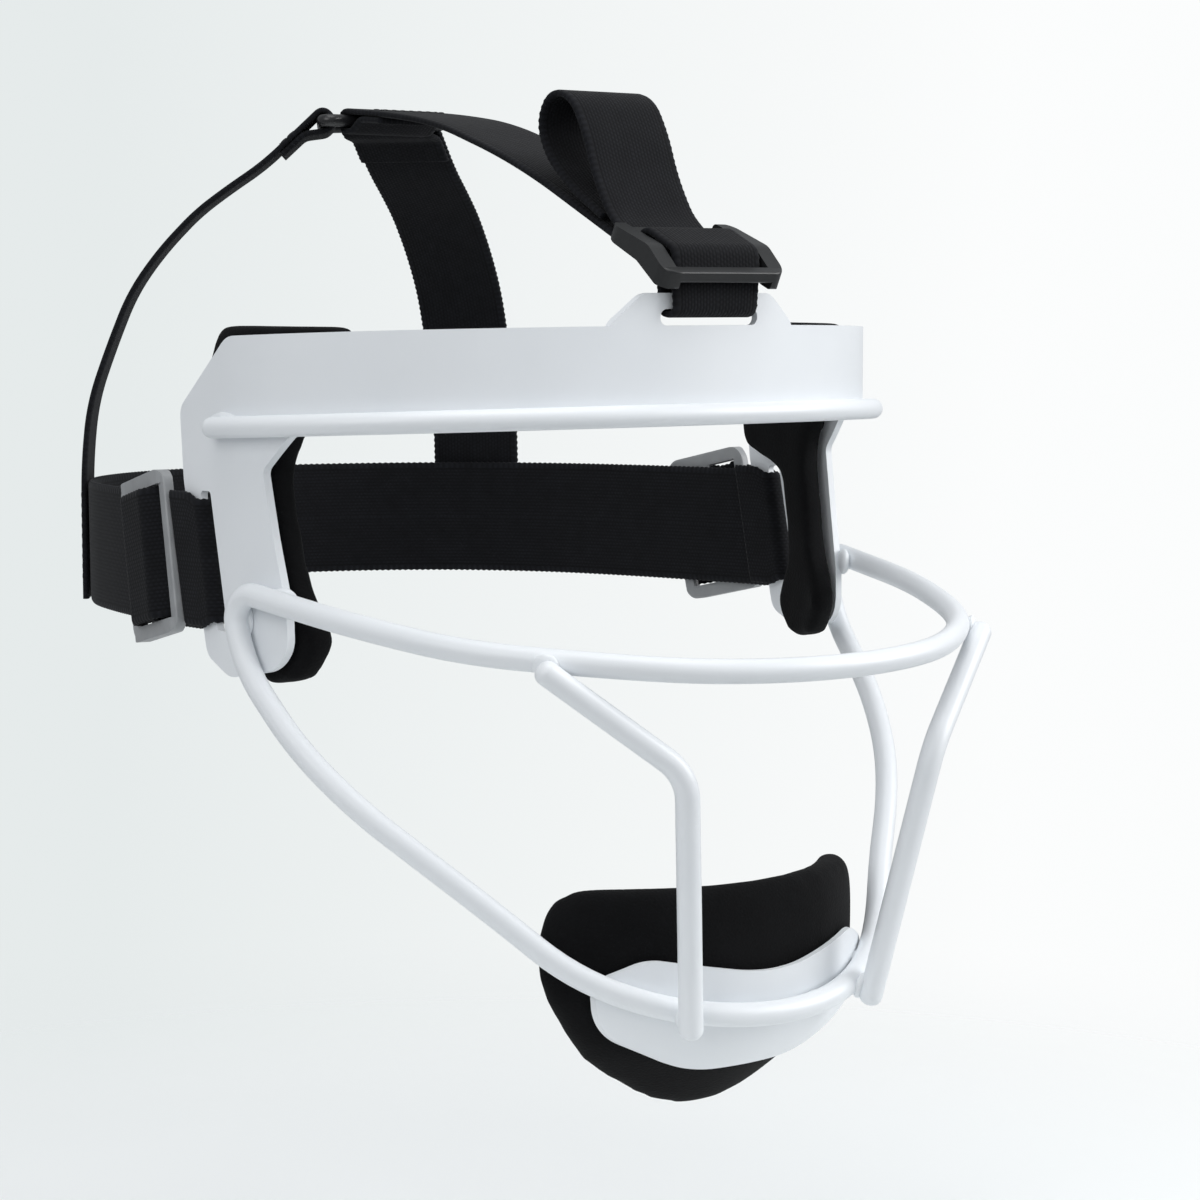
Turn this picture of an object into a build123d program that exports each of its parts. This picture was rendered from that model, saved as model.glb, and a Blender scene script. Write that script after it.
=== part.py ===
from build123d import *
from math import asin, atan2, cos, degrees, radians, sin, sqrt, tan
import os

# Fielder's face guard: painted steel brow band and wire cage, foam pads and elastic straps.
# Millimetres. The wearer looks along -Y, +X is the wearer's left and +Z is up.
# The origin is on the forehead, in the middle of the brow pad's inner face.

# Steel sheet and wire
sheet = 1.8
chin_sheet = 1.4
bar_wire = 5.3
rim_wire = 4.8
weld_gap = 0.1
upright_gap = 0.2
wire_end_share = 0.45
bend_share = 0.48

# Foam, hook tape and webbing
pad_foam = 6.8
temple_foam = 7.6
chin_foam = 9.0
foam_round = 2.2
hook_tape = 0.8
tape_gap = 0.05
web = 1.5
web_gap = 0.3
web_ease = 0.4
web_fold = 2.0
top_web_width = 24.6
side_web_width = 30.0
overrun = 60.0

# Brow band seen from above, and the heights of its edges
guard_half_width = 85.2
front_radius = 113.0
corner_radius = 60.0
plate_rear = 75.4
band_front_top = 13.0
band_front_low = -9.0
band_side_low = -11.0

# Side plates, as corner points in shares of their length and drop
plate_front = 35.6
plate_length = 38.9
plate_drop = 52.6
plate_corner = 10.0
plate_shares = [
    (0.50, -0.41, 0.8), (1.025, -0.10, 0.4), (0.99, 0.21, 1.4), (0.75, 0.95, 0.5), (0.50, 1.03, 0.8),
    (0.02, 0.965, 0.8), (0.03, 0.72, 1.0), (0.12, 0.42, 1.4), (0.19, 0.145, 0.25), (0.0, 0.0, 0.15),
]
side_slot_length = 31.0
side_slot_width = 4.4
side_slot_front = 62.6
side_slot_top = -24.0
side_slot_lean = 6.8

# Tab that carries the top strap
tab_foot = 26.5
tab_top = 20.0
tab_half_width = 18.2
tab_round = 5.0
top_slot_length = 27.8
top_slot_low = 12.9
top_slot_high = 16.5
top_slot_round = 1.7

# Cage bars, as corner points in shares of their half width, reach and drop from the ear bend
ear_y = 50.3
ear_z = -44.6
ear_bend = 5.5
ear_joint_share = 0.366
upper_reach = 102.8
upper_dip = 14.0
upper_shares = [
    (0.929, 0.380, 0.386), (0.806, 0.627, 0.686), (0.617, 0.812, 0.814), (0.393, 0.942, 0.943),
    (0.134, 1.0, 1.0),
]
lower_reach = 86.0
lower_drop = 91.3
lower_shares = [
    (0.993, 0.056, 0.188), (0.960, 0.247, 0.366), (0.882, 0.401, 0.502), (0.768, 0.535, 0.622),
    (0.634, 0.651, 0.752), (0.507, 0.779, 0.888), (0.338, 0.908, 0.966), (0.117, 1.0, 1.0),
]

# Upright bars
upright_top_share = 0.258
upright_low_share = 0.43
upright_bend_shares = (0.404, 0.488, 0.270)
upright_bend_radius = 12.0
upright_overhang = 3.4
upright_tip = 1.2

# Chin plate and chin pad, both turned about one upright axis and curled in below
# Widths are shares of the jaw bar's half width, and rises are above its lowest run
chin_radius_share = 0.660
chin_setback = 0.8
chin_curl_radius = 26.5
chin_curl = 45.0
chin_curl_rise = 5.9
chin_curl_run = 24.5
chin_wall_rise = 36.0
chin_plate_half_share = 0.4446
chin_plate_rise = 13.1
chin_plate_drop = 27.4
chin_plate_corner = 9.0
chin_plate_shares = [
    (0.0, 0.20, 6.0), (0.745, 0.0, 1.0), (1.0, 0.18, 0.65), (0.965, 0.61, 1.3), (0.41, 1.0, 3.6),
]
chin_pad_half_share = 0.5168
chin_pad_rise = 28.5
chin_pad_drop = 55.6
chin_pad_depth = 30.0
chin_pad_corner = 12.0
chin_pad_shares = [
    (0.85, 0.0, 1.0), (1.0, 0.155, 0.8), (1.0, 0.424, 1.3), (0.727, 0.757, 2.0), (0.22, 1.0, 2.1),
]
chin_hook_length = 52.0
chin_hook_height = 14.0
chin_hook_drop = 1.1

# Brow pad and temple pads
brow_pad_height = 19.4
brow_pad_turn_share = 0.763
brow_pad_crown = 1.2
brow_hook_height = 15.0
brow_hook_end = 9.0
patch_corner = 3.0
temple_front = 27.0
temple_length = 44.0
temple_top = 12.0
temple_drop = 79.0
temple_corner = 6.0
temple_shares = [
    (0.0, 0.0, 0.6), (0.87, 0.0, 1.0), (1.0, 0.12, 0.8), (0.955, 0.392, 0.6), (0.61, 0.468, 0.8),
    (0.535, 0.735, 0.8), (0.66, 0.886, 1.0), (0.52, 1.0, 1.1), (0.25, 0.985, 1.1), (0.11, 0.861, 1.0),
    (0.26, 0.709, 1.3), (0.375, 0.405, 1.0), (0.25, 0.266, 0.8), (0.0, 0.253, 0.6),
]
temple_hook_y = 53.0
temple_hook_z = -5.0
temple_hook_size = 19.0

# Top strap, seen from the side
strap_slope = 25.5
strap_foot_y = 10.9
strap_foot_z = 33.0
strap_seam_y = 0.5
strap_bend_y = 46.8
slot_loop_end = -3.0
strap_fold_y = 120.4
strap_fold_z = 65.4
strap_return = 17.0
strap_crest_shares = [(0.444, 0.686), (0.723, 0.882)]

# Sliders
slider_bar = 3.2
slider_thickness = 2.6
slider_corner = 4.0
slider_edge = 0.5
window_corner = 0.5
top_slider_length = 24.0
top_slider_width = 34.6
top_slider_rail = 4.2
top_slider_rise = 6.0
top_slider_y = -3.2
top_rail_shares = [
    (-0.5, -0.10, 0.15), (-0.5, 0.45, 0.2), (-0.12, 1.0, 0.9), (0.5, 0.80, 0.2), (0.5, 0.33, 0.15),
    (0.06, 0.30, 1.0), (-0.36, -0.12, 0.3),
]
side_slider_length = 27.0
side_slider_width = 37.4
side_slider_rail = 3.3
side_slider_rise = 4.3
side_slider_y = 88.8
side_rail_shares = [
    (-0.5, 0.26, 0.1), (-0.5, 0.7, 0.2), (-0.4, 1.0, 0.4), (0.4, 1.0, 0.4), (0.5, 0.7, 0.2), (0.5, 0.26, 0.1),
]
wrap_gap = 0.1
hump_shoulder_share = 0.68
hump_round_share = 0.62
sewn_round_share = 0.75

# Slack of the top strap, in shares of its reach behind the slider and of its height
slack_reach = 39.0
slack_height = 21.5
slack_shares = [
    (0.0, 0.092), (0.16, 0.16), (0.38, 0.42), (0.58, 0.772), (0.774, 1.0), (0.98, 0.926), (1.005, 0.535),
    (0.826, 0.27), (0.541, 0.135), (0.22, 0.092),
]

# Crown ring
ring_half_width = 19.0
ring_depth = 29.3
ring_wire = 3.0
ring_corner = 1.8
ring_strand_share = 0.467

# Rear strap, and the two strands that join it to the crown ring
rear_web_z = -40.4
rear_web_front = 66.0
rear_web_start = 75.7
rear_web_setback = 7.6
rear_fall = 0.8
rear_reach = 118.8
rear_shares = [(0.940, 0.323), (0.842, 0.584), (0.652, 0.794), (0.374, 0.937)]
strand_drop = 119.2
strand_return = 13.0
strand_slope = 43.1
strand_shares = [
    (0.244, 0.089), (0.395, 0.141), (0.524, 0.190), (0.675, 0.270), (0.799, 0.358), (0.890, 0.471),
    (0.972, 0.589), (1.0, 0.723), (1.0, 1.0),
]

# Worked out from the sizes above
pad_depth = sheet + hook_tape + 2 * tape_gap
band_front = -(pad_depth + pad_foam)
corner_x = guard_half_width - corner_radius
corner_y = band_front + front_radius - sqrt((front_radius - corner_radius) ** 2 - corner_x**2)
bar_half_width = guard_half_width + bar_wire / 2
corner_turn = atan2(band_front + front_radius - corner_y, corner_x)
brow_pad_end = corner_y - (corner_radius - pad_depth) * sin(brow_pad_turn_share * corner_turn)
jaw_z = ear_z - lower_drop
chin_front = ear_y - lower_reach + bar_wire / 2 + weld_gap + chin_setback
chin_radius = chin_radius_share * bar_half_width
chin_plate_half_width = chin_plate_half_share * bar_half_width
chin_pad_half_width = chin_pad_half_share * bar_half_width
chin_curl_z = jaw_z + chin_curl_rise
side_lean = atan2(side_slot_lean, side_slot_length)


def radii_for(points):
    """Return one bend radius for each inner corner, as large as the runs beside it allow."""
    radii = []
    for before, corner, after in zip(points, points[1:], points[2:]):
        run_in = Vector(*corner) - Vector(*before)
        run_out = Vector(*after) - Vector(*corner)
        half_turn = radians(run_in.get_angle(run_out)) / 2
        radii.append(bend_share * min(run_in.length, run_out.length) / tan(half_turn))
    return radii


def bent_path(points, radii=None):
    """Return straight runs joined by tangent arcs."""
    return FilletPolyline(*points, radius=radii or radii_for(points)).wire()


def round_wire(path, diameter, rounded=True):
    """Return a round bar along a path, with its two cut ends rounded over where asked."""
    bar = sweep(Plane(origin=path @ 0, z_dir=path % 0) * Circle(diameter / 2), path=path)
    if rounded:
        rims = bar.edges().filter_by(GeomType.CIRCLE)
        tips = [rims.sort_by(lambda rim: (rim.arc_center - path @ place).length)[0] for place in (0, 1)]
        bar = fillet(tips, wire_end_share * diameter)
    return bar


def ribbon(path, width, across):
    """Return flat webbing along a path, with its width along the given direction."""
    return sweep(Plane(origin=path @ 0, x_dir=across, z_dir=path % 0) * Rectangle(width, web), path=path)


def outline_face(points):
    """Return a flat face whose corner points each bring their own radius as a third value."""
    places = [point[:2] for point in points]
    return make_face(FilletPolyline(*places, radius=[point[2] for point in points], close=True).edges())


def place_shares(shares, corner, size, radius):
    """Turn rows of along, down and radius shares into points of an outline."""
    return [(corner[0] + a * size[0], corner[1] - d * size[1], r * radius) for a, d, r in shares]


def both_sides(points):
    """Return a half outline joined to its mirror image across the middle."""
    return points + [(-x, y, r) for x, y, r in reversed(points) if x]


def side_cut(face):
    """Return a block across the whole guard from a face drawn in the side view."""
    return extrude(Plane.YZ * face, guard_half_width + overrun, both=True)


def left_cut(face):
    """Return the wearer's left half of such a block."""
    return extrude(Plane.YZ * face, guard_half_width + overrun)


def mirrored(piece):
    """Return the wearer's right-hand copy of a left-hand piece."""
    return mirror(piece, about=Plane.YZ)


def brow_path(depth, end_y):
    """Return the band's curve seen from above, a depth inside its outer face, back to end_y each side."""
    radius = corner_radius - depth
    last = atan2(band_front + front_radius - corner_y, corner_x)
    first = asin(max(0.0, corner_y - end_y) / radius)
    middle = (first + last) / 2

    def spot(turn, side):
        return (side * (corner_x + radius * cos(turn)), corner_y - radius * sin(turn))

    edges = [
        ThreePointArc(spot(first, 1), spot(middle, 1), spot(last, 1)),
        ThreePointArc(spot(last, 1), (0, band_front + depth), spot(last, -1)),
        ThreePointArc(spot(last, -1), spot(middle, -1), spot(first, -1)),
    ]
    if end_y > corner_y:
        edges.insert(0, Line((guard_half_width - depth, end_y), spot(0, 1)))
        edges.append(Line(spot(0, -1), (depth - guard_half_width, end_y)))
    return Wire([edge.edge() for edge in edges])


def band_layer(outer_depth, inner_depth):
    """Return a tall wall that follows the band between two depths inside its outer face."""
    faces = []
    for depth, rear in ((outer_depth, plate_rear), (inner_depth, plate_rear + overrun)):
        path = brow_path(depth, rear)
        faces.append(make_face(path.edges() + [Edge.make_line(path @ 1, path @ 0)]))
    low = band_side_low - plate_drop - overrun
    return extrude(Pos(0, 0, low) * (faces[0] - faces[1]), tab_top + overrun - low)


def brow_band():
    """Return the sheet steel band with its side plates, strap tab and slots."""
    nose = band_front - sheet
    plate = place_shares(plate_shares, (plate_front, band_side_low), (plate_length, plate_drop), plate_corner)
    sides = [(nose, band_front_top, 0)] + plate + [(nose, band_front_low, 0)]
    root = band_front_top - tab_round
    tab = [(tab_half_width, tab_top, tab_round), (tab_foot, band_front_top, tab_round), (tab_foot, root, 0)]
    slot = RectangleRounded(top_slot_length, top_slot_high - top_slot_low, top_slot_round)
    wall = band_layer(0, sheet)
    band = wall & side_cut(outline_face(sides))
    band += wall & extrude(Plane.XZ * outline_face(both_sides(tab)), overrun)
    band -= extrude(Plane.XZ * Pos(0, (top_slot_low + top_slot_high) / 2) * slot, overrun)
    return band - side_cut(outline_face(side_slot_points()))


def side_slot_points():
    """Return the leaning outline of the slots for the side straps."""
    rear = side_slot_front + side_slot_width
    low = side_slot_top - side_slot_length
    corner = side_slot_width / 4
    return [
        (side_slot_front, side_slot_top, corner), (rear, side_slot_top, corner),
        (rear - side_slot_lean, low, corner), (side_slot_front - side_slot_lean, low, corner),
    ]


def brow_rim():
    """Return the rim wire along the band's lower edge, which climbs a little towards the nose."""
    rim = round_wire(brow_path(-rim_wire / 2 - weld_gap, corner_y + rim_wire / 2), rim_wire)
    climb = degrees(atan2(band_front_low - band_side_low, plate_front - band_front))
    rim = rim.rotate(Axis((0, plate_front, 0), (-1, 0, 0)), climb)
    return Pos(0, 0, band_side_low + rim_wire / 2) * rim


def bar_points(shares, reach, drop):
    """Return the corner points of one half of a bar, worked out from the ear bend."""
    return [(x * bar_half_width, ear_y - y * reach, ear_z - z * drop) for x, y, z in shares]


def bar_joint():
    """Return the point where the upper bar meets the ear bend of the lower bar."""
    first = Vector(*bar_points(upper_shares, upper_reach, upper_dip)[0])
    ear = Vector(bar_half_width, ear_y, ear_z)
    return tuple(ear + (first - ear) * ear_joint_share)


def whole_bar(half):
    """Return a half bar's points joined to their mirror image."""
    return half + [(-x, y, z) for x, y, z in reversed(half)]


def upper_path():
    """Return the line of the bar below the eyes, from ear to ear."""
    return bent_path(whole_bar([bar_joint()] + bar_points(upper_shares, upper_reach, upper_dip)))


def lower_path():
    """Return the line of the jaw bar with the tight bends at both ears."""
    ear = [bar_joint(), (bar_half_width, ear_y, ear_z)]
    points = whole_bar(ear + bar_points(lower_shares, lower_reach, lower_drop))
    radii = radii_for(points)
    radii[0] = radii[-1] = ear_bend
    return bent_path(points, radii)


def seat_beside(path, share):
    """Return the point one bar in front of a path, square to both that path and the upright."""
    point = path @ share
    away = (path % share).cross(upright_corner() - point).normalized()
    if away.Y > 0:
        away = away * -1
    return point + away * (bar_wire + upright_gap)


def upright_corner():
    """Return the corner of the left upright, placed between the fronts of both bars."""
    x, y, z = upright_bend_shares
    high = (ear_y - upper_reach, ear_z - upper_dip)
    low = (ear_y - lower_reach, jaw_z)
    return Vector(x * bar_half_width, high[0] + y * (low[0] - high[0]), high[1] + z * (low[1] - high[1]))


def upright():
    """Return the wearer's left upright, bent beside the mouth and lying on both bars."""
    bend = upright_corner()
    top = seat_beside(upper_path(), upright_top_share)
    low = seat_beside(lower_path(), upright_low_share)
    top = top + (top - bend).normalized() * upright_tip
    low = low + (low - bend).normalized() * upright_overhang
    return round_wire(bent_path([tuple(top), tuple(bend), tuple(low)], [upright_bend_radius]), bar_wire)


def cup_wall(depth, thickness):
    """Return a layer of the chin cup that starts a depth inside the chin plate's outer face."""
    curl = radians(chin_curl)
    hub = chin_radius - chin_curl_radius

    def spot(inset, share):
        reach = chin_curl_radius - inset
        return (hub + reach * cos(share * curl), chin_curl_z - reach * sin(share * curl))

    def tip(inset):
        x, z = spot(inset, 1)
        return (x - chin_curl_run * sin(curl), z - chin_curl_run * cos(curl))

    outer, inner = depth, depth + thickness
    wall_top = jaw_z + chin_wall_rise
    edges = [
        Line((chin_radius - outer, wall_top), spot(outer, 0)),
        ThreePointArc(spot(outer, 0), spot(outer, 0.5), spot(outer, 1)),
        Line(spot(outer, 1), tip(outer)), Line(tip(outer), tip(inner)), Line(tip(inner), spot(inner, 1)),
        ThreePointArc(spot(inner, 1), spot(inner, 0.5), spot(inner, 0)),
        Line(spot(inner, 0), (chin_radius - inner, wall_top)),
        Line((chin_radius - inner, wall_top), (chin_radius - outer, wall_top)),
    ]
    cup = revolve(Plane.XZ * make_face([edge.edge() for edge in edges]), Axis.Z, 360)
    return Pos(0, chin_front + chin_radius, 0) * cup


def front_block(face, rear):
    """Return a block in front of the plane y = rear, from a face drawn in the front view."""
    return Pos(0, rear, 0) * extrude(Plane.XZ * face, overrun)


def chin_plate():
    """Return the dished steel plate welded behind the jaw bar."""
    size = (chin_plate_half_width, chin_plate_drop)
    points = place_shares(chin_plate_shares, (0, jaw_z + chin_plate_rise), size, chin_plate_corner)
    return cup_wall(0, chin_sheet) & front_block(outline_face(both_sides(points)), 0)


def chin_hook():
    """Return the hook tape between the chin plate and its pad."""
    face = Pos(0, jaw_z - chin_hook_drop) * RectangleRounded(chin_hook_length, chin_hook_height, patch_corner)
    return cup_wall(chin_sheet + tape_gap, hook_tape) & front_block(face, 0)


def chin_pad():
    """Return the foam cup that rests on the chin."""
    size = (chin_pad_half_width, chin_pad_drop)
    points = place_shares(chin_pad_shares, (0, jaw_z + chin_pad_rise), size, chin_pad_corner)
    cup = cup_wall(chin_sheet + hook_tape + 2 * tape_gap, chin_foam)
    pad = cup & front_block(outline_face(both_sides(points)), chin_front + chin_pad_depth)
    return fillet(pad.edges(), foam_round)


def brow_pad():
    """Return the foam strip across the forehead, crowned towards the skin."""
    half = brow_pad_height / 2
    side = half - foam_round
    back = -pad_foam / 2
    face = pad_foam / 2
    edge = face - brow_pad_crown
    section = make_face([
        Line((back, side), (back, -side)).edge(),
        ThreePointArc((back, -side), (0, -half), (edge, -side)).edge(),
        ThreePointArc((edge, -side), (face, 0), (edge, side)).edge(),
        ThreePointArc((edge, side), (0, half), (back, side)).edge(),
    ])
    path = brow_path(pad_depth + pad_foam / 2, brow_pad_end)
    return sweep(Plane(origin=path @ 0, x_dir=(-1, 0, 0), z_dir=path % 0) * section, path=path)


def brow_hook():
    """Return the hook tape along the inside of the band."""
    nose = band_front - sheet
    middle = (nose + brow_hook_end) / 2
    face = Pos(middle, 0) * RectangleRounded(brow_hook_end - nose, brow_hook_height, patch_corner)
    return band_layer(sheet + tape_gap, sheet + tape_gap + hook_tape) & side_cut(face)


def temple_pad():
    """Return the wearer's left temple pad, which lines the side plate."""
    points = place_shares(temple_shares, (temple_front, temple_top), (temple_length, temple_drop), temple_corner)
    pad = band_layer(pad_depth, pad_depth + temple_foam) & left_cut(outline_face(points))
    return fillet(pad.edges(), foam_round)


def temple_hook():
    """Return the hook tape between the left side plate and its pad."""
    face = Pos(temple_hook_y, temple_hook_z) * RectangleRounded(temple_hook_size, temple_hook_size, patch_corner)
    return band_layer(sheet + tape_gap, sheet + tape_gap + hook_tape) & left_cut(face)


def strap_line(y, lift=0):
    """Return the point at y on a line parallel to the lower top strap, lifted square to it."""
    slope = radians(strap_slope)
    return (y, strap_foot_z + (y - strap_foot_y) * tan(slope) + lift / cos(slope))


def middle_ribbon(points, radii):
    """Return top strap webbing in the middle of the guard, from points of the side view."""
    return ribbon(Plane.YZ * bent_path(points, radii), top_web_width, (1, 0, 0))


def slot_loop():
    """Return the webbing that goes down the front of the tab, through its slot and up behind it."""
    edge = top_web_width / 2
    back = band_front + front_radius - sqrt((front_radius - sheet) ** 2 - edge**2)
    outer = band_front - web_ease - web / 2
    inner = back + web_ease + web / 2
    pass_z = top_slot_high - web_ease - web / 2
    under = -(web + web_gap)
    points = [
        strap_line(strap_seam_y), strap_line(outer), (outer, pass_z), (inner, pass_z),
        strap_line(inner, under), strap_line(slot_loop_end, under),
    ]
    return middle_ribbon(points, [web_fold] * 4)


def top_strap():
    """Return the long strap over the head, folded round the crown ring."""
    bend = strap_line(strap_bend_y)
    run = strap_fold_y - bend[0]
    rise = strap_fold_z - bend[1]
    low = strap_fold_z - ring_wire - web - 2 * web_gap
    points = [strap_line(strap_seam_y), bend] + [(bend[0] + a * run, bend[1] + b * rise) for a, b in strap_crest_shares]
    points += [(strap_fold_y, strap_fold_z), (strap_fold_y, low), (strap_fold_y - strap_return, low)]
    radii = radii_for(points)
    radii[-2:] = [web_fold, web_fold]
    return middle_ribbon(points, radii)


def ring_plane():
    """Return the level plane of the crown ring, with its origin in the middle of the front bar."""
    front = strap_fold_y - web / 2 - web_gap - ring_wire / 2
    height = strap_fold_z - web / 2 - web_gap - ring_wire / 2
    return Plane(origin=(0, front, height))


def crown_ring():
    """Return the three-sided wire ring where the top strap and the two rear strands meet."""
    corners = [(-ring_half_width, 0), (ring_half_width, 0), (0, ring_depth)]
    path = FilletPolyline(*corners, radius=ring_corner, close=True).wire()
    return round_wire(ring_plane() * path, ring_wire, rounded=False)


def rear_points():
    """Return the left half of the rear strap's curve seen from above, from the plate to near the nape."""
    side = guard_half_width - sheet / 2
    return [(side, rear_web_start)] + [(x * side, rear_web_start + y * rear_reach) for x, y in rear_shares]


def rear_strap():
    """Return the elastic strap round the back of the head, a little lower at the nape."""
    side = guard_half_width - sheet / 2
    half = [(side, rear_web_front)] + rear_points()
    points = half + [(0, rear_web_start + rear_reach)] + [(-x, y) for x, y in reversed(half)]
    strap = ribbon(bent_path(points), side_web_width, (0, 0, 1))
    strap = Pos(0, 0, rear_web_z) * strap.rotate(Axis((0, rear_web_start, 0), (-1, 0, 0)), rear_fall)
    front = side_slot_front + side_slot_width + rear_web_setback
    drop = side_slot_length + overrun
    notch = [
        (front + overrun * tan(side_lean), side_slot_top + overrun, 0), (front - overrun, side_slot_top + overrun, 0),
        (front - overrun, side_slot_top - drop, 0), (front - drop * tan(side_lean), side_slot_top - drop, 0),
    ]
    return strap - side_cut(outline_face(notch))


def strand():
    """Return the wearer's left strand, from the crown ring down to the rear strap."""
    side = Vector(-ring_half_width, ring_depth, 0)
    out = Vector(ring_depth, ring_half_width, 0).normalized()
    base = ring_plane().from_local_coords(Vector(ring_half_width, 0, 0) + side * ring_strand_share)
    before, after = [Vector(*point) for point in rear_points()[2:4]]
    square = (after - before).cross(Vector(0, 0, 1)).normalized()
    reach = (before - Vector(base.X, base.Y, 0)).dot(square) / out.dot(square) + web + web_gap
    slope = radians(strand_slope)
    wrap = (ring_wire + web_gap + web) / 2
    down = Vector(cos(slope), -sin(slope), 0)
    over = Vector(sin(slope), cos(slope), 0)
    turn = [down * strand_return - over * wrap, (down + over) * -wrap, (over - down) * wrap]
    points = [(point.X, point.Y) for point in turn] + [(a * reach, -b * strand_drop) for a, b in strand_shares]
    radii = radii_for(points)
    radii[:2] = [web_fold, web_fold]
    across = out.cross(Vector(0, 0, 1))
    path = Plane(origin=base, x_dir=out, z_dir=across) * bent_path(points, radii)
    return ribbon(path, top_web_width, across)


def side_loop():
    """Return the webbing through the left plate's slot, with a layer on each side of the plate."""
    half = web / 2
    outer = guard_half_width + web_gap + half
    inner = guard_half_width - sheet - web_gap - half
    front = side_slot_front + side_slot_width - web_ease - half
    ease = (side_slot_length - side_web_width) / 2
    slider_front = side_slider_y - side_slider_length / 2 / cos(side_lean) - web_gap
    far = slider_front + (side_slot_top - rear_web_z) * tan(side_lean)
    turn = web_fold - web_gap
    face = outline_face([
        (outer + half, far, 0), (outer + half, front - half, turn + half), (inner - half, front - half, turn + half),
        (inner - half, far, 0), (inner + half, far, 0), (inner + half, front + half, turn - half),
        (outer - half, front + half, turn - half), (outer - half, far, 0),
    ])
    lean = Vector(0, -sin(side_lean), -cos(side_lean))
    start = lean * (ease / cos(side_lean))
    block = extrude(face, side_web_width / cos(side_lean), dir=lean)
    return Pos(start.X, start.Y, start.Z + side_slot_top) * block


def slider_on(length, width, rail, rise, rail_shares):
    """Return a three-bar slider whose webbing lies in the plane z = 0 and runs along X."""
    plate = RectangleRounded(length, width, slider_corner)
    window = RectangleRounded((length - 3 * slider_bar) / 2, width - 2 * rail, window_corner)
    middle = (length - slider_bar) / 4
    bars = extrude(plate - Pos(middle, 0) * window - Pos(-middle, 0) * window, slider_thickness)
    bars = fillet(bars.edges().filter_by(Plane.XY), slider_edge)
    face = outline_face([(a * length, b * rise, r * rise) for a, b, r in rail_shares])
    rails = extrude(Plane.XZ * face, width / 2, both=True)
    rails -= extrude(Plane.XZ * Rectangle(length + overrun, overrun), width / 2 - rail, both=True)
    rails &= extrude(plate, overrun, both=True)
    return Pos(0, 0, web / 2 + web_gap) * bars + rails


def webbing_over(length, width):
    """Return the hump of webbing over a slider's middle bar."""
    low = web + web_gap + wrap_gap
    top = web_gap + slider_thickness + 2 * (web + wrap_gap)
    foot = length / 2 - slider_bar - web_gap - web / 2
    shoulder = foot * hump_shoulder_share
    points = [(-foot, low), (-shoulder, top), (shoulder, top), (foot, low)]
    path = Plane.XZ * bent_path(points, [hump_round_share * (top - low)] * 2)
    return ribbon(path, width, (0, 1, 0))


def sewn_end(width):
    """Return the sewn end of webbing that hugs a slider's middle bar under the hump."""
    low = web / 2 + web_gap + wrap_gap
    top = web_gap + slider_thickness + web + wrap_gap
    side = slider_bar / 2 + wrap_gap + web / 2
    points = [(-side, low), (-side, top), (side, top), (side, low)]
    path = Plane.XZ * bent_path(points, [web * sewn_round_share] * 2)
    return ribbon(path, width, (0, 1, 0))


def slack_loop():
    """Return the slack of the top strap, which stands up in a loop behind the slider."""
    start = top_slider_length / 2 + web_gap
    points = [(start + a * slack_reach, b * slack_height) for a, b in slack_shares]
    return ribbon(Plane.XZ * bent_path(points), top_web_width, (0, 1, 0))


def top_slider_plane():
    """Return the plane of the top strap under its slider, with X running up the strap."""
    slope = radians(strap_slope)
    up = (0, cos(slope), sin(slope))
    return Plane(origin=(0, *strap_line(top_slider_y)), x_dir=up, z_dir=(0, -sin(slope), cos(slope)))


def side_slider_plane():
    """Return the plane of the left strap under its slider, leaning back like the plate's slot."""
    before, after = [Vector(*point) for point in rear_points()[:2]]
    along = (after - before).normalized()
    place = before + along * ((side_slider_y - rear_web_start) / along.Y)
    up = Vector(0, 0, 1)
    back = along * cos(side_lean) - up * sin(side_lean)
    return Plane(origin=(place.X, place.Y, rear_web_z), x_dir=back, z_dir=along.cross(up))


top_plane = top_slider_plane()
side_plane = side_slider_plane()
side_slider = slider_on(side_slider_length, side_slider_width, side_slider_rail, side_slider_rise, side_rail_shares)
top_slider = slider_on(top_slider_length, top_slider_width, top_slider_rail, top_slider_rise, top_rail_shares)

pieces = {
    "brow_band": brow_band(),
    "brow_rim_wire": brow_rim(),
    "upper_bar": round_wire(upper_path(), bar_wire, rounded=False),
    "lower_bar": round_wire(lower_path(), bar_wire, rounded=False),
    "chin_plate": chin_plate(),
    "chin_hook_tape": chin_hook(),
    "chin_pad": chin_pad(),
    "brow_hook_tape": brow_hook(),
    "brow_pad": brow_pad(),
    "tab_slot_webbing": slot_loop(),
    "top_strap": top_strap(),
    "top_slider": top_plane * top_slider,
    "top_slider_webbing": top_plane * webbing_over(top_slider_length, top_web_width),
    "top_strap_sewn_end": top_plane * sewn_end(top_web_width),
    "top_strap_slack": top_plane * slack_loop(),
    "crown_ring": crown_ring(),
    "rear_strap": rear_strap(),
}
left_pieces = {
    "upright": upright(),
    "temple_hook_tape": temple_hook(),
    "temple_pad": temple_pad(),
    "rear_strand": strand(),
    "side_slot_webbing": side_loop(),
    "side_slider": side_plane * side_slider,
    "side_slider_webbing": side_plane * webbing_over(side_slider_length, side_web_width),
    "side_strap_sewn_end": side_plane * sewn_end(side_web_width),
}
for name, piece in left_pieces.items():
    pieces["left_" + name] = piece
    pieces["right_" + name] = mirrored(piece)

os.makedirs("parts", exist_ok=True)
for name, piece in pieces.items():
    export_step(piece, f"parts/{name}.step")
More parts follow.
